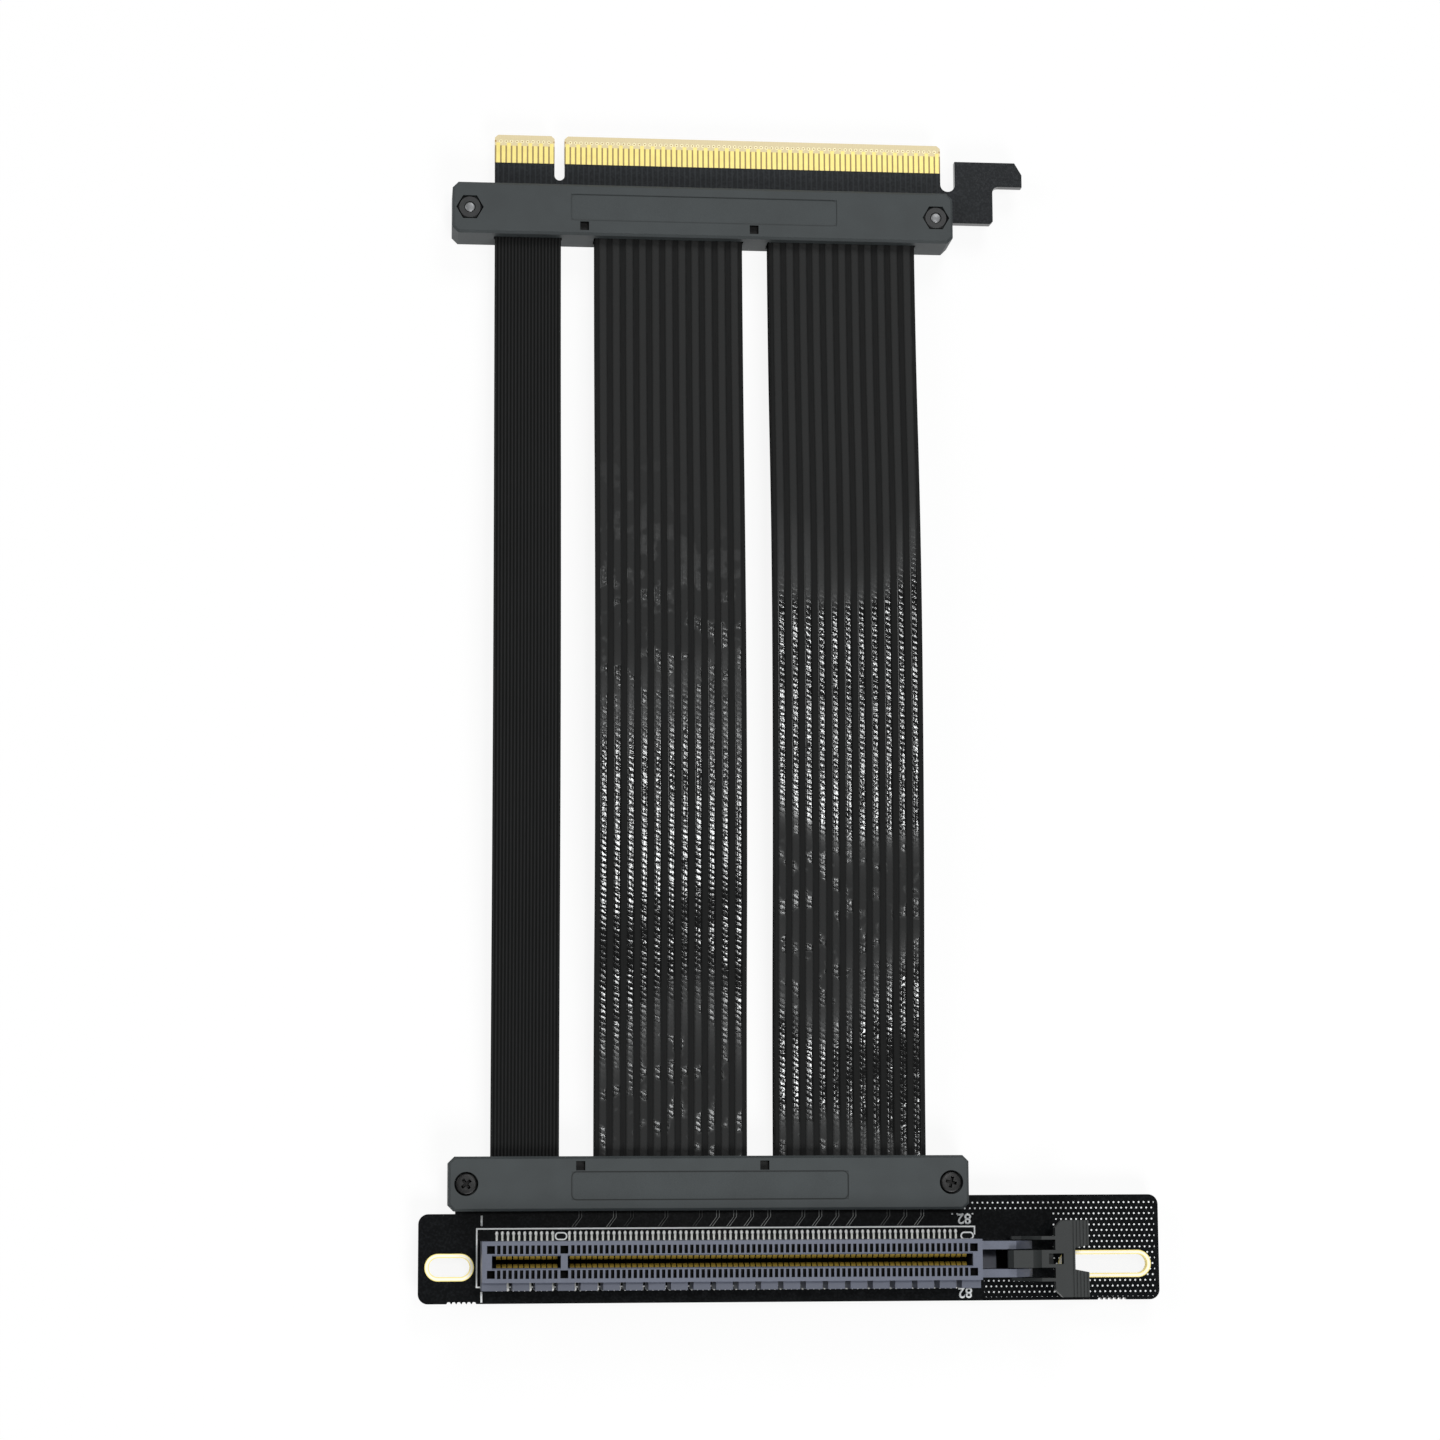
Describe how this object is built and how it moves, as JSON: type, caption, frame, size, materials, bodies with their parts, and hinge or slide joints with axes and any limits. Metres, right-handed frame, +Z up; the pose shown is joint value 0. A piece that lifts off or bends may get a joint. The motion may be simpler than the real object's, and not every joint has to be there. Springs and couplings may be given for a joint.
{
  "type": "graphics card riser cable",
  "caption": "Flat riser cable: a card-edge plug and a keyed card slot on small boards in screwed covers, joined by ribbed ribbons, with a hinged card latch.",
  "frame": {"origin": "on the surface that the part lies on, under the middle of its box", "axes": "+X along the card slot towards the latch, +Y from the socket to the plug, +Z up out of the slot"},
  "size_m": [0.1344, 0.216, 0.0165],
  "materials": {
    "board_black": "satin",
    "slot_plastic": "satin",
    "contact_metal": "satin",
    "latch_plastic": "satin",
    "cover_plastic": "matte",
    "dark_steel": "satin",
    "gilt_finger": "polished",
    "ribbon_black": "satin"
  },
  "bodies": {
    "cable": {"socket_board": "board_black", "card_slot_body": "slot_plastic", "contacts_row_a": "contact_metal", "contacts_row_b": "contact_metal", "socket_cover_front": "cover_plastic", "socket_cover_back": "cover_plastic", "socket_screws": "dark_steel", "socket_nuts": "dark_steel", "plug_board": "board_black", "plug_fingers_front": "gilt_finger", "plug_fingers_back": "gilt_finger", "plug_cover_front": "cover_plastic", "plug_cover_back": "cover_plastic", "plug_screws": "dark_steel", "plug_nuts": "dark_steel", "sideband_ribbon": "ribbon_black", "lane_ribbon_left_upper": "ribbon_black", "lane_ribbon_left_lower": "ribbon_black", "lane_ribbon_right_upper": "ribbon_black", "lane_ribbon_right_lower": "ribbon_black"},
    "latch": {"card_latch": "latch_plastic"}
  },
  "joints": [
    {"name": "latch_hinge", "type": "hinge", "parent": "cable", "child": "latch", "pos_m": [0.04093, -0.1005, 0.0084], "axis": [0, 1, 0], "range_deg": [0, 25]}
  ]
}
